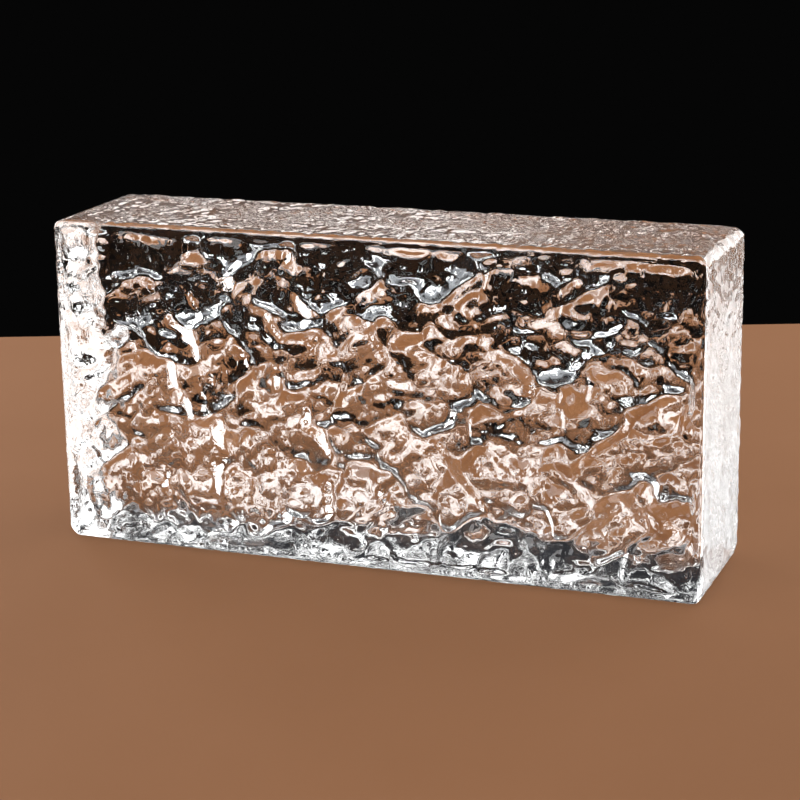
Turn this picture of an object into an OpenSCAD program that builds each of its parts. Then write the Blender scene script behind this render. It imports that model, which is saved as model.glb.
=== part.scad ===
// Solid cast glass brick, standing on its long bed face.
// The front is a moulded rock face: flat-topped boulders that carry smaller lumps, and creases between them,
// standing a little proud of the plain rim round it.
// X runs along the length, Y from the rock face to the plain back, Z up from the bed face.

/* [Brick] */
// Length, along X
brick_l = 200; // [100:1:300]
// Thickness from the front plane to the back face, along Y
brick_w = 50; // [30:1:100]
// Height as it stands, along Z
brick_h = 100; // [50:1:200]

/* [Edges] */
// Radius of the four edges that run from front to back
corner_r = 4; // [2:0.5:8]
// Radius of the edge round the rock face
front_edge_r = 2; // [1:0.5:4]
// Radius of the edge round the back face
back_edge_r = 4; // [2:0.5:8]

/* [Rock face] */
// Plain flat rim between the front edge's rounding and the relief
rim_w = 0.6; // [0.4:0.1:4]
// How far the rim lies behind the front plane, which the highest crowns reach
rim_depth = 1.2; // [0.5:0.1:4]
// Distance from the rim over which the relief comes to its full height
fade_w = 3; // [1:0.5:15]
// Mean distance between neighbouring boulders, the large forms
boulder_pitch = 30; // [20:1:60]
// Height of the boulders above the deepest creases between them
boulder_rise = 2.6; // [0:0.1:5]
// Mean distance between neighbouring lumps, the smaller forms on the boulders
lump_pitch = 14.5; // [8:0.5:30]
// Height of the lumps above the deepest creases between them
lump_rise = 3.1; // [0:0.1:5]
// How far both stray from an even grid, as a share of their pitch
stray = 0.8; // [0:0.05:1]
// How steeply both may lean, as a share of their height over one pitch
lean = 0.35; // [0:0.05:1]
// How far the creases wander from plain curves
wander = 3; // [0:0.5:6]
// Widest spacing of the points that carry the relief
grid_step = 2; // [2:0.5:5]
// Number of the pattern, as each mould has its own
pattern = 7; // [1:1:60]

/* [Hidden] */
$fn = 48;

// Every boulder and lump, with heights as shares of its rise and lengths as shares of its pitch:
// how much lower its crown may lie, how fast it falls past its top, how flat that top is,
// and how much faster it falls across than along, at least and at most
crown_sink = 0.45;
fall = 1.3;
flatness = 2;
slim_least = 1.3;
slim_most = 2.6;
// What the front plane takes off the highest crowns
crown_cut = 0.6;
// The two waves that the creases wander by
long_wave = 37;
short_wave = 17;
long_phase = [75, 23];

// The brick behind its rim
body_w = brick_w - rim_depth;
// From the brick's outline to the relief's field: past the rounded edge, and inside the rounded corners
margin = max(front_edge_r, corner_r * (1 - sqrt(1 / 2))) + rim_w;
field_l = brick_l - 2 * margin;
field_h = brick_h - 2 * margin;
columns = ceil(field_l / grid_step);
rows = ceil(field_h / grid_step);
// Step down from the rim to the relief's border
lip = 0.2;
// How far the relief's cutter stands clear of the front plane, and its stock reaches into the body
clear = 2;

// A repeatable number from 0 to 1 for the form in cell (i, j) of a pattern, one for each trait
function chance(i, j, trait, pattern) =
    let (v = sin(127.1 * i + 311.7 * j + 74.7 * trait + 53.3 * pattern) * 43758.5453)
    v - floor(v);

// Height of one form at (x, z): a leaning flat-topped oval, 0 at the highest crown and falling outwards
function form(i, j, x, z, pitch, pattern) =
    let (
        dx = x / pitch - i - 0.5 - stray * (chance(i, j, 1, pattern) - 0.5),
        dz = z / pitch - j - 0.5 - stray * (chance(i, j, 2, pattern) - 0.5),
        turn = 180 * chance(i, j, 3, pattern),
        along = dx * cos(turn) + dz * sin(turn),
        across = dz * cos(turn) - dx * sin(turn),
        slim = slim_least + (slim_most - slim_least) * chance(i, j, 4, pattern),
        way = 360 * chance(i, j, 7, pattern),
        tilt = lean * chance(i, j, 5, pattern) * (dx * cos(way) + dz * sin(way)),
        flank = fall * pow(along * along + slim * across * across, flatness)
    )
    tilt - crown_sink * chance(i, j, 6, pattern) - flank;

// Depth at (x, z) below the crowns of one pattern, 1 at the deepest: the form that stands highest there
function hollow(x, z, pitch, pattern) =
    let (ci = floor(x / pitch), cj = floor(z / pitch))
    min(1, -max([for (i = [ci - 1 : ci + 1], j = [cj - 1 : cj + 1]) form(i, j, x, z, pitch, pattern)]));

// Where (x, z) lies on the patterns, bent so that the creases wander
function bent(x, z) = [
    x + wander * (sin(360 * z / long_wave + long_phase[0]) + sin(360 * (x + z) / short_wave) / 2),
    z + wander * (sin(360 * x / long_wave + long_phase[1]) + sin(360 * (x - z) / short_wave) / 2)
];

function smooth(t) = let (u = min(1, max(0, t))) u * u * (3 - 2 * u);

// How deep the relief lies below the front plane at (x, z), measured from the field's corner;
// a crown that would stand above that plane ends flat on it, so the cutter clears it by no more than it needs
function depth(x, z) =
    let (
        to_rim = min(x, field_l - x, z, field_h - z),
        at = bent(x, z),
        boulders = boulder_rise * hollow(at[0], at[1], boulder_pitch, pattern + 1),
        lumps = lump_rise * hollow(at[0], at[1], lump_pitch, pattern),
        border = rim_depth + lip
    )
    max(-clear / 2, border + (boulders + lumps - crown_cut - border) * smooth(to_rim / fade_w));

// Rectangle from (0, 0) to (w, h), with its left corners rounded by r_left and its right ones by r_right
module rounded_section(w, h, r_left, r_right) {
    difference() {
        square([w, h]);
        for (right = [0, 1], top = [0, 1])
            translate([right * w, top * h]) mirror([right, 0]) mirror([0, top])
                let (r = right ? r_right : r_left)
                difference() {
                    square(r);
                    translate([r, r]) circle(r);
                }
    }
}

// The plain brick from its rim to its back: three rounded sections, one for each direction, in common
module body() {
    intersection() {
        translate([-brick_l / 2, brick_w / 2, 0]) rotate([90, 0, 0])
            linear_extrude(body_w) rounded_section(brick_l, brick_h, corner_r, corner_r);
        translate([brick_l / 2, brick_w / 2 - body_w, 0]) rotate([0, 0, 90])
            linear_extrude(brick_h) rounded_section(body_w, brick_l, front_edge_r, back_edge_r);
        translate([-brick_l / 2, brick_w / 2 - body_w, 0]) rotate([90, 0, 90])
            linear_extrude(brick_l) rounded_section(body_w, brick_h, front_edge_r, back_edge_r);
    }
}

// What the rock face is cut from, just inside the relief's border
module rock_face_stock() {
    translate([-field_l / 2 + lip, -brick_w / 2, margin + lip])
        cube([field_l - 2 * lip, rim_depth + clear, field_h - 2 * lip]);
}

// What the mould's rock face keeps free of glass, from in front of the brick down to the relief
module rock_face_cut() {
    depths = [for (j = [0 : rows]) [for (i = [0 : columns])
        depth(i * field_l / columns, j * field_h / rows)]];
    relief = [for (j = [0 : rows], i = [0 : columns])
        [i * field_l / columns, depths[j][i], j * field_h / rows]];
    outside = [for (x = [0, field_l], z = [0, field_h]) [x, -clear, z]];
    n = len(relief);
    at = function(i, j) j * (columns + 1) + i;
    // each cell is split along the diagonal that bends less, so that edges follow the creases
    cells = [for (j = [0 : rows - 1], i = [0 : columns - 1])
        let (a = at(i, j), b = at(i + 1, j), c = at(i + 1, j + 1), d = at(i, j + 1),
             rising = abs(depths[j][i] - depths[j + 1][i + 1]),
             falling = abs(depths[j][i + 1] - depths[j + 1][i]))
        each rising < falling ? [[a, b, c], [a, c, d]] : [[a, b, d], [b, c, d]]];
    walls = [
        [n, n + 2, each [for (i = [columns : -1 : 0]) at(i, 0)]],
        [n + 3, n + 1, each [for (i = [0 : columns]) at(i, rows)]],
        [n + 1, n, each [for (j = [0 : rows]) at(0, j)]],
        [n + 2, n + 3, each [for (j = [rows : -1 : 0]) at(columns, j)]]
    ];
    translate([-field_l / 2, -brick_w / 2, margin])
        polyhedron(concat(relief, outside), concat(cells, walls, [[n, n + 1, n + 3, n + 2]]));
}

module glass_brick() {
    color([0.86, 0.93, 0.95])
        difference() {
            union() {
                body();
                rock_face_stock();
            }
            rock_face_cut();
        }
}

glass_brick();
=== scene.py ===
import math

import bpy
import numpy as np
from mathutils import Matrix, Vector, noise


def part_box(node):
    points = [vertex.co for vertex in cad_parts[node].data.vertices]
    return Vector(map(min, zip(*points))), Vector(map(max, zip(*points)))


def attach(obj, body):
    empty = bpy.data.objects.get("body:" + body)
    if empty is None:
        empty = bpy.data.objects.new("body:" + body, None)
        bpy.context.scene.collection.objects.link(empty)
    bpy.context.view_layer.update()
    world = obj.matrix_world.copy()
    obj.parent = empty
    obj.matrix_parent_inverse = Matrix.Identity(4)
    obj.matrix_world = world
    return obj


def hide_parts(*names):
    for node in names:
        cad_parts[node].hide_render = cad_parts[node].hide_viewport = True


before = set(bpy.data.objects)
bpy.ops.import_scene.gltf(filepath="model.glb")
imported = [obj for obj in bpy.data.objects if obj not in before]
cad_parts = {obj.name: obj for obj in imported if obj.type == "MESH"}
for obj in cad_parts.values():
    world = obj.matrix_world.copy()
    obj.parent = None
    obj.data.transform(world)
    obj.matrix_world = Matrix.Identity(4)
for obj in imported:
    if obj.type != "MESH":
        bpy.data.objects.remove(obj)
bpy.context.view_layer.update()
scene = bpy.context.scene
scene.view_settings.view_transform = "Standard"
# light goes to and fro inside the glass many times
scene.cycles.max_bounces = 24
scene.cycles.glossy_bounces = 16
scene.cycles.transmission_bounces = 24
tiny = 1e-9


# A socket in a node tree: arithmetic on it adds Math nodes, and add() makes any other node
class Wire:
    def __init__(self, tree, socket=None):
        self.tree = tree
        self.socket = socket

    def add(self, kind, settings=None, sockets=None, out=0):
        node = self.tree.nodes.new(kind)
        for name, value in (settings or {}).items():
            setattr(node, name, value)
        for name, value in (sockets or {}).items():
            if isinstance(value, Wire):
                self.tree.links.new(value.socket, node.inputs[name])
            else:
                node.inputs[name].default_value = value
        return Wire(self.tree, node.outputs[out] if len(node.outputs) else None)

    # colour a where the factor is 0, b where it is 1
    def mix(self, factor, a, b):
        sockets = {"Factor": factor, "A": a, "B": b}
        return self.add("ShaderNodeMix", {"data_type": "RGBA"}, sockets, out="Result")

    # goes from low to high while this value goes from start to end
    def ramp(self, start, end, low=0, high=1, kind="LINEAR"):
        sockets = {"Value": self, 1: start, 2: end, 3: low, 4: high}
        return self.add("ShaderNodeMapRange", {"interpolation_type": kind}, sockets)

    def softRamp(self, start, end):
        return self.ramp(start, end, kind="SMOOTHSTEP")

    # noise read at this place
    def clouds(self, scale, detail):
        return self.add("ShaderNodeTexNoise", None, {"Vector": self, "Scale": scale, "Detail": detail})

    # 1 for one kind of ray, 0 for the others
    def ray(self, kind):
        return self.add("ShaderNodeLightPath", out=f"Is {kind} Ray")

    def math(self, operation, first, second):
        return self.add("ShaderNodeMath", {"operation": operation}, {0: first, 1: second})

    def __add__(self, other):
        return self.math("ADD", self, other)

    def __radd__(self, other):
        return self.math("ADD", other, self)

    def __sub__(self, other):
        return self.math("SUBTRACT", self, other)

    def __rsub__(self, other):
        return self.math("SUBTRACT", other, self)

    def __mul__(self, other):
        return self.math("MULTIPLY", self, other)

    def __rmul__(self, other):
        return self.math("MULTIPLY", other, self)


def emptyTree(owner):
    owner.use_nodes = True
    owner.node_tree.nodes.clear()
    return Wire(owner.node_tree)


# Cast brick: one closed skin with the rock face, the rounded edges and the ripple of the mould
brick = {
    "cellsLong": 250,
    "cellsTall": 125,
    "cellsDeep": 46,
    "cellsPerEdge": 8,
    "cornerRadius": 0.004,  # the edges that run from front to back
    "frontEdge": 0.002,
    "backEdge": 0.004,
    "rimWidth": 0.0006,  # plain rim round the rock face
    "rimDepth": 0.0012,
    "fadeWidth": 0.003,
    "boulderPitch": 0.03,
    "boulderRise": 0.0026,
    "lumpPitch": 0.0145,
    "lumpRise": 0.0031,
    "stray": 0.8,  # boulders and lumps, as shares of their pitch or rise
    "lean": 0.35,
    "crownSink": 0.45,
    "fall": 1.3,
    "flatness": 2,
    "slimLeast": 1.3,
    "slimMost": 2.6,
    "crownCut": 0.0006,
    "pattern": 7,
    "wander": 0.003,  # how far the creases stray, and their two waves
    "longWave": 0.037,
    "shortWave": 0.017,
    "longPhase": (75, 23),
    "jitter": 0.0016,  # fine unrest of the creases
    "jitterSize": 0.0055,
    "knobSize": 0.0035,  # pebbles on the lumps of the rock face
    "knobHeight": 0.0005,
    "fineKnobs": 0.5,  # share of those of half the size
    "rippleSize": 0.0028,  # orange peel on every face
    "rippleHeight": 0.0007,
    "fineRipple": 0.4,
    "rippleLevel": 0.75,  # mean depth and swing, as shares of its height
    "rippleSwing": 0.5,
    "frontShare": 0.4,  # how much of the ripple each face has, where it isn't all
    "bedShare": 0.35,
    "leftShare": 0.5,
    "topShare": 1.05,
}

# the numbers that tell the forms of the rock face apart, as in the solid
hashSteps = (127.1, 311.7, 74.7, 53.3)
hashSpread = 43758.5453
traits = {"placeX": 1, "placeZ": 2, "turn": 3, "slim": 4, "lean": 5, "sink": 6, "leanWay": 7}

# where each noise is read, so that no two are alike
noiseShift = {
    "ripple": 1.0,
    "fineRipple": 3.0,
    "knobs": 5.0,
    "fineKnobs": 9.0,
    "jitterX": 11.0,
    "jitterZ": 17.0,
}
shiftWay = (1, 1.7, 2.3)


# a repeatable share from 0 to 1 for one trait of the form in cell (i, j)
def chance(i, j, trait, pattern):
    stepI, stepJ, stepTrait, stepPattern = hashSteps
    angle = stepI * i + stepJ * j + stepTrait * traits[trait] + stepPattern * pattern
    v = np.sin(np.radians(angle)) * hashSpread
    return v - np.floor(v)


# one leaning flat-topped oval of the rock face: 0 at the highest crown, falling outwards
def form(i, j, x, z, pitch, pattern):
    def luck(trait):
        return chance(i, j, trait, pattern)

    dx = x / pitch - i - 0.5 - brick["stray"] * (luck("placeX") - 0.5)
    dz = z / pitch - j - 0.5 - brick["stray"] * (luck("placeZ") - 0.5)
    turn = np.pi * luck("turn")
    along = dx * np.cos(turn) + dz * np.sin(turn)
    across = dz * np.cos(turn) - dx * np.sin(turn)
    slim = brick["slimLeast"] + (brick["slimMost"] - brick["slimLeast"]) * luck("slim")
    way = 2 * np.pi * luck("leanWay")
    tilt = brick["lean"] * luck("lean") * (dx * np.cos(way) + dz * np.sin(way))
    flank = brick["fall"] * (along**2 + slim * across**2) ** brick["flatness"]
    return tilt - brick["crownSink"] * luck("sink") - flank


# depth below the crowns of one pattern, 1 at the deepest
def hollow(x, z, pitch, pattern):
    ci = np.floor(x / pitch)
    cj = np.floor(z / pitch)
    near = range(-1, 2)
    heights = [form(ci + i, cj + j, x, z, pitch, pattern) for i in near for j in near]
    return np.minimum(1, -np.max(heights, axis=0))


# where a point of the front lies on the patterns, bent so that the creases wander
def bent(x, z):
    reach = brick["wander"]
    long = 2 * np.pi / brick["longWave"]
    short = 2 * np.pi / brick["shortWave"]
    phaseX, phaseZ = np.radians(brick["longPhase"])
    bentX = x + reach * (np.sin(long * z + phaseX) + np.sin(short * (x + z)) / 2)
    bentZ = z + reach * (np.sin(long * x + phaseZ) + np.sin(short * (x - z)) / 2)
    return bentX, bentZ


def smooth(t):
    u = np.clip(t, 0, 1)
    return u * u * (3 - 2 * u)


def noiseAt(points, size, name):
    offset = Vector([noiseShift[name] * step for step in shiftWay])
    return np.array([noise.noise(Vector(p) / size + offset) for p in points])


# insets from an edge, so that its rounding is split into equal angles
def edgeInsets(radius, count):
    return [radius * (1 - math.tan(math.radians(45 * (1 - n / count)))) for n in range(count)]


def gridLine(length, startRadius, endRadius, cells):
    count = brick["cellsPerEdge"]
    start = edgeInsets(startRadius, count)
    end = [length - inset for inset in reversed(edgeInsets(endRadius, count))]
    middle = np.linspace(startRadius, length - endRadius, cells - 2 * count + 1)
    return np.array(start + list(middle) + end)


# the surface of a lattice of cells: its points' indices, and the quads of its six sides facing out
def latticeShell(counts):
    i, j, k = np.indices([n + 1 for n in counts])
    onShell = (i % counts[0] == 0) | (j % counts[1] == 0) | (k % counts[2] == 0)
    index = np.full(onShell.shape, -1)
    index[onShell] = np.arange(onShell.sum())
    quads = []
    for axis in range(3):
        for end in (0, counts[axis]):
            side = np.take(index, end, axis=axis)
            corners = [side[:-1, :-1], side[1:, :-1], side[1:, 1:], side[:-1, 1:]]
            facesOut = (axis == 1) == (end == 0)
            if not facesOut:
                corners.reverse()
            quads.append(np.stack(corners, axis=-1).reshape(-1, 4))
    points = np.stack([i[onShell], j[onShell], k[onShell]], axis=-1)
    return points, np.concatenate(quads)


# rounds the outline's corners, then the edges round the front and the back
def roundBrick(points, size):
    radius = brick["cornerRadius"]
    half = np.array([size[0], size[2]]) / 2
    flat = points[:, [0, 2]] - half
    core = np.clip(flat, radius - half, half - radius)
    offset = flat - core
    reach = np.abs(offset).max(axis=1)
    outward = offset / np.maximum(np.hypot(offset[:, 0], offset[:, 1]), tiny)[:, None]
    flat = core + outward * reach[:, None]
    inset = radius - reach
    y = points[:, 1].copy()
    normal = np.stack([outward[:, 0], np.zeros(len(y)), outward[:, 1]], axis=-1)
    for edge, toFace, facing in ((brick["frontEdge"], y.copy(), -1), (brick["backEdge"], size[1] - y, 1)):
        u = edge - inset
        v = edge - toFace
        onFace = (v > edge - tiny) & (u <= 0)
        normal[onFace] = (0, facing, 0)
        onEdge = (u > 0) & (v > 0)
        scale = np.where(onEdge, edge / np.maximum(np.hypot(u, v), tiny), 1)
        flat -= outward * np.where(onEdge, u - u * scale, 0)[:, None]
        y += np.where(onEdge, -facing * (v - v * scale), 0)
        turned = np.stack([outward[:, 0] * u, facing * v, outward[:, 1] * u], axis=-1)
        normal[onEdge] = (turned * (scale / edge)[:, None])[onEdge]
    rounded = np.stack([flat[:, 0] + half[0], y, flat[:, 1] + half[1]], axis=-1)
    return rounded, normal


# how deep the rock face lies below the front plane, and how much of it is left towards the rim
def reliefDepth(x, z, size):
    margin = max(brick["frontEdge"], brick["cornerRadius"] * (1 - math.sqrt(0.5))) + brick["rimWidth"]
    fieldX = x - margin
    fieldZ = z - margin
    toRight = size[0] - 2 * margin - fieldX
    toTop = size[2] - 2 * margin - fieldZ
    toRim = np.minimum.reduce([fieldX, toRight, fieldZ, toTop])
    bentX, bentZ = bent(fieldX, fieldZ)
    flat = np.stack([fieldX, np.zeros(len(x)), fieldZ], axis=-1)
    bentX = bentX + brick["jitter"] * noiseAt(flat, brick["jitterSize"], "jitterX")
    bentZ = bentZ + brick["jitter"] * noiseAt(flat, brick["jitterSize"], "jitterZ")
    boulders = brick["boulderRise"] * hollow(bentX, bentZ, brick["boulderPitch"], brick["pattern"] + 1)
    lumps = brick["lumpRise"] * hollow(bentX, bentZ, brick["lumpPitch"], brick["pattern"])
    return boulders + lumps - brick["crownCut"], smooth(toRim / brick["fadeWidth"])


def makeBrick():
    low, high = (np.array(corner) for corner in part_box("glass_brick"))
    size = high - low
    counts = (brick["cellsLong"], brick["cellsDeep"], brick["cellsTall"])
    cells, quads = latticeShell(counts)
    radius = brick["cornerRadius"]
    lines = [
        gridLine(size[0], radius, radius, counts[0]),
        gridLine(size[1] - brick["rimDepth"], brick["frontEdge"], brick["backEdge"], counts[1]),
        gridLine(size[2], radius, radius, counts[2]),
    ]
    points = np.stack([lines[axis][cells[:, axis]] for axis in range(3)], axis=-1)
    points, normal = roundBrick(points, size - np.array([0, brick["rimDepth"], 0]))
    points[:, 1] += brick["rimDepth"]

    front = cells[:, 1] == 0
    depth, fade = reliefDepth(points[:, 0], points[:, 2], size)
    knobs = noiseAt(points, brick["knobSize"], "knobs")
    knobs += brick["fineKnobs"] * noiseAt(points, brick["knobSize"] / 2, "fineKnobs")
    depth = np.maximum(0, depth + brick["knobHeight"] * knobs)
    points[:, 1] += np.where(front, (depth - brick["rimDepth"]) * fade, 0)

    ripple = noiseAt(points, brick["rippleSize"], "ripple")
    ripple += brick["fineRipple"] * noiseAt(points, brick["rippleSize"] / 2, "fineRipple")
    share = np.ones(len(points))
    share[cells[:, 2] == counts[2]] = brick["topShare"]
    share[cells[:, 0] == 0] = brick["leftShare"]
    share[cells[:, 2] == 0] = brick["bedShare"]
    share[front] = brick["frontShare"]
    dents = np.maximum(0, brick["rippleLevel"] + brick["rippleSwing"] * ripple)
    points -= normal * (brick["rippleHeight"] * share * dents)[:, None]

    mesh = bpy.data.meshes.new("castBrick")
    mesh.from_pydata((points + low).tolist(), [], quads.tolist())
    mesh.polygons.foreach_set("use_smooth", [True] * len(quads))
    mesh.update()
    piece = bpy.data.objects.new("cast_brick", mesh)
    scene.collection.objects.link(piece)
    print("brick:", len(points), "points,", 2 * len(quads), "triangles")
    return piece


# Clear cast glass: faint cool tint, near polished, with the mould's finest ripple as bump
glass = {
    "clearTint": (0.985, 0.99, 0.99, 1),
    "deepTint": (0.95, 0.97, 0.97, 1),
    "cloudScale": 60,
    "cloudDetail": 3,
    "ior": 1.52,
    "haze": 0.03,
    "grainSize": 0.0011,
    "grainDetail": 0.6,
    "grainHeight": 0.0004,
    "calmSize": 0.012,  # patches where the grain is weaker
    "calmDetail": 1,
    "calmRange": (0.42, 0.6),
    "calmGrain": 0.12,
    "frontGrain": 0.1,
    "frontRange": (-0.019, -0.016),  # where it changes behind the rock face, along Y
    "backGrain": 0.65,
    "backRange": (0.021, 0.024),
    "lampShare": (0.6, 0.6, 0.59, 1),  # how much of the lamps' light its shadow lets through
}


def makeGlass():
    material = bpy.data.materials.new("castGlass")
    tree = emptyTree(material)
    place = tree.add("ShaderNodeTexCoord", out="Object")
    depth = tree.add("ShaderNodeSeparateXYZ", None, {"Vector": place}, out="Y")
    cloud = place.clouds(glass["cloudScale"], glass["cloudDetail"])
    tint = tree.mix(cloud, glass["clearTint"], glass["deepTint"])
    grain = place.clouds(1 / glass["grainSize"], glass["grainDetail"])
    calm = place.clouds(1 / glass["calmSize"], glass["calmDetail"])
    busy = calm.ramp(*glass["calmRange"], glass["calmGrain"], 1)
    front = depth.ramp(*glass["frontRange"], glass["frontGrain"], 1)
    back = depth.ramp(*glass["backRange"], 1, glass["backGrain"])
    relief = {"Height": grain * busy * front * back, "Distance": glass["grainHeight"], "Strength": 1}
    bump = tree.add("ShaderNodeBump", None, relief)
    body = tree.add(
        "ShaderNodeBsdfPrincipled",
        None,
        {
            "Base Color": tint,
            "Roughness": glass["haze"] * cloud,
            "IOR": glass["ior"],
            "Transmission Weight": 1,
            "Normal": bump,
        },
    )
    through = tree.add("ShaderNodeBsdfTransparent", None, {"Color": glass["lampShare"]})
    surface = tree.add("ShaderNodeMixShader", None, {"Fac": tree.ray("Shadow"), 1: body, 2: through})
    tree.add("ShaderNodeOutputMaterial", None, {"Surface": surface})
    return material


piece = makeBrick()
piece.data.materials.append(makeGlass())
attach(piece, "root")
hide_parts("glass_brick")
print("glass done")


# Stage: a plain tan floor that ends behind the brick, with a dark studio beyond it
stage = {
    "azimuth": 21.14,
    "elevation": 15.32,
    "roll": -0.96,
    "distance": 0.6735,
    "aim": (0, 0, 0.05),
    "slide": (0.0014, -0.0042),
    "lens": 101.8,
    "sensor": 36,
    "clipStart": 0.01,
    "farEdge": 0.2785,
    "nearEdge": -0.7,
    "halfWidth": 0.7,
    "drop": 0.0002,
    "floorColour": (0.44, 0.205, 0.1, 1),
    "floorShade": (0.38, 0.172, 0.08, 1),
    "mottleScale": 9,
    "mottleDetail": 4,
    "paintedMirrorShade": (0.04, 0.026, 0.02, 1),  # painted shade: a darker copy of the floor, shown only where the brick's front mirrors it
    "paintedPassingDeep": (0.485, 0.188, 0.067, 1),  # painted light: lit copies of the floor, paler on average, shown only through the glass; the mottle between the two tones is random
    "paintedPassingPale": (0.75, 0.332, 0.137, 1),
    "passingSize": 0.03,
    "passingDetail": 3,
    "passingRange": (0.35, 0.65),
    "floorMatt": 0.7,
    "floorSheen": 0.05,
    "floorGloss": 0.09,  # polish behind the brick, for the glare in it
    "floorCoat": 2.3,
    "polishRange": (-0.05, 0.02),  # where the polish begins, along Y
    "dark": (0.0018, 0.0018, 0.0018, 1),
    "grey": (0.028, 0.029, 0.033, 1),
    "greyRise": (-0.05, 0.3),
    "glow": (0.4, 0.415, 0.44, 1),  # low on the backdrop, where only the brick shows it
    "glowFacing": (0.3, 0.7),
    "glowFoot": (-0.085, 0.02),
    "glowHead": (0.03, 0.13),
    "fill": (0.5, 0.5, 0.5, 1),
}


def viewAxes(azimuth, elevation):
    a = math.radians(azimuth)
    e = math.radians(elevation)
    back = Vector((math.sin(a) * math.cos(e), -math.cos(a) * math.cos(e), math.sin(e)))
    right = Vector((math.cos(a), math.sin(a), 0))
    return right, back.cross(right), back


def makeCamera():
    right, up, back = viewAxes(stage["azimuth"], stage["elevation"])
    data = bpy.data.cameras.new("photoCamera")
    data.lens = stage["lens"]
    data.sensor_width = stage["sensor"]
    data.clip_start = stage["clipStart"]
    camera = bpy.data.objects.new("photo_camera", data)
    place = Vector(stage["aim"]) + back * stage["distance"]
    place += right * stage["slide"][0] + up * stage["slide"][1]
    turn = Matrix((right, up, back)).transposed().to_4x4()
    roll = Matrix.Rotation(math.radians(stage["roll"]), 4, "Z")
    camera.matrix_world = Matrix.Translation(place) @ turn @ roll
    scene.collection.objects.link(camera)
    scene.camera = camera


def makeFloor():
    right, up, back = viewAxes(stage["azimuth"], 0)
    x = stage["halfWidth"]
    near = stage["nearEdge"]
    far = stage["farEdge"]
    corners = [(-x, near), (x, near), (x, far), (-x, far)]
    points = [right * u - back * v - Vector((0, 0, stage["drop"])) for u, v in corners]
    mesh = bpy.data.meshes.new("studioFloor")
    mesh.from_pydata(points, [], [(0, 1, 2, 3)])
    floor = bpy.data.objects.new("studio_floor", mesh)
    scene.collection.objects.link(floor)
    material = bpy.data.materials.new("tanFloor")
    tree = emptyTree(material)
    passing = tree.ray("Transmission")
    place = tree.add("ShaderNodeTexCoord", out="Object")
    depth = tree.add("ShaderNodeSeparateXYZ", None, {"Vector": place}, out="Y")
    mottle = place.clouds(stage["mottleScale"], stage["mottleDetail"])
    colour = tree.mix(mottle, stage["floorColour"], stage["floorShade"])
    # painted shade: rays mirrored off the brick see the floor's darker copy
    paintedMirrorColour = tree.mix(tree.ray("Glossy") * (1 - passing), colour, stage["paintedMirrorShade"])
    # painted light: rays through the glass see paler, lit copies of the floor, mottled at random between
    # two tones
    pale = place.clouds(1 / stage["passingSize"], stage["passingDetail"]).ramp(*stage["passingRange"])
    through = tree.mix(pale, stage["paintedPassingDeep"], stage["paintedPassingPale"])
    shown = tree.mix(passing, paintedMirrorColour, through)
    polished = tree.add(
        "ShaderNodeBsdfPrincipled",
        None,
        {
            "Base Color": shown,
            "Roughness": stage["floorGloss"],
            "Coat Weight": 1,
            "Coat Roughness": stage["floorGloss"],
            "Coat IOR": stage["floorCoat"],
        },
    )
    matt = tree.add(
        "ShaderNodeBsdfPrincipled",
        None,
        {"Base Color": shown, "Roughness": stage["floorMatt"], "Specular IOR Level": stage["floorSheen"]},
    )
    polish = depth.ramp(*stage["polishRange"]) * (1 - tree.ray("Camera"))
    surface = tree.add("ShaderNodeMixShader", None, {"Fac": polish, 1: matt, 2: polished})
    tree.add("ShaderNodeOutputMaterial", None, {"Surface": surface})
    mesh.materials.append(material)


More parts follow.
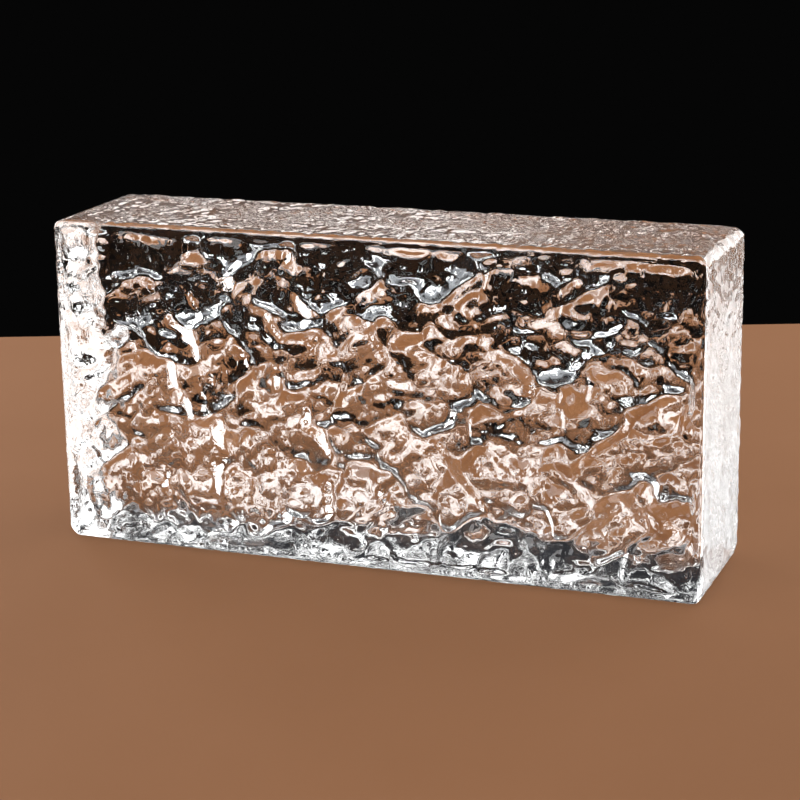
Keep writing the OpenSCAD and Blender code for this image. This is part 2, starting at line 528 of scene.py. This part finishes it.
# the dark backdrop for what is seen, directly or in the brick, and an even fill for what is lit
def makeWorld():
    world = bpy.data.worlds.new("studio")
    scene.world = world
    tree = emptyTree(world)
    right, up, back = viewAxes(stage["azimuth"], 0)
    way = tree.add("ShaderNodeTexCoord", out="Generated")
    rise = tree.add("ShaderNodeSeparateXYZ", None, {"Vector": way}, out="Z")
    ahead = tree.add("ShaderNodeVectorMath", {"operation": "DOT_PRODUCT"}, {0: way, 1: -back}, out="Value")
    wall = tree.mix(rise.softRamp(*stage["greyRise"]), stage["dark"], stage["grey"])
    behind = ahead.softRamp(*stage["glowFacing"])
    foot = rise.softRamp(*stage["glowFoot"])
    head = rise.softRamp(*stage["glowHead"])
    lit = tree.mix(behind * foot * (1 - head), wall, stage["glow"])
    seen = tree.ray("Camera") + tree.ray("Glossy") + tree.ray("Transmission")
    colour = tree.mix(seen, stage["fill"], lit)
    air = tree.add("ShaderNodeBackground", None, {"Color": colour, "Strength": 1})
    tree.add("ShaderNodeOutputWorld", None, {"Surface": air})


# softboxes, as the camera sees the brick: how far right, behind and up, width and height,
# how bright its face is, and whether it stands upright or leans towards the brick
softboxes = {
    "rear": {"at": (-0.08, 1.5, 0.58), "size": (0.42, 0.2), "bright": 2.8, "upright": True},
    "right": {"at": (0.78, 0.64, 0.4), "size": (0.8, 0.75), "bright": 2.7, "upright": True},
    "rearRight": {"at": (0.34, 1.5, 0.44), "size": (0.62, 0.04), "bright": 3.0, "upright": True},
    "low": {"at": (0.05, 1.5, 0.03), "size": (0.5, 0.06), "bright": 2.2, "upright": True},
    "left": {"at": (-0.6, 0.8, 0.3), "size": (0.5, 0.6), "bright": 4.2, "upright": True},
    "key": {"at": (-0.62, -0.68, 0.32), "size": (0.45, 0.4), "bright": 3.2, "upright": False},
}


def makeSoftboxes():
    right, up, back = viewAxes(stage["azimuth"], 0)
    for name, box in softboxes.items():
        data = bpy.data.lights.new(name, "AREA")
        data.shape = "RECTANGLE"
        data.size, data.size_y = box["size"]
        data.energy = box["bright"] * math.pi * box["size"][0] * box["size"][1]
        lamp = bpy.data.objects.new("softbox_" + name, data)
        across, behind, height = box["at"]
        lamp.location = right * across - back * behind + up * height
        towards = Vector(stage["aim"]) - lamp.location
        if box["upright"]:
            towards.z = 0
        lamp.rotation_euler = towards.to_track_quat("-Z", "Y").to_euler()
        lamp.visible_camera = False
        scene.collection.objects.link(lamp)


makeCamera()
makeFloor()
makeWorld()
makeSoftboxes()
print("stage done")
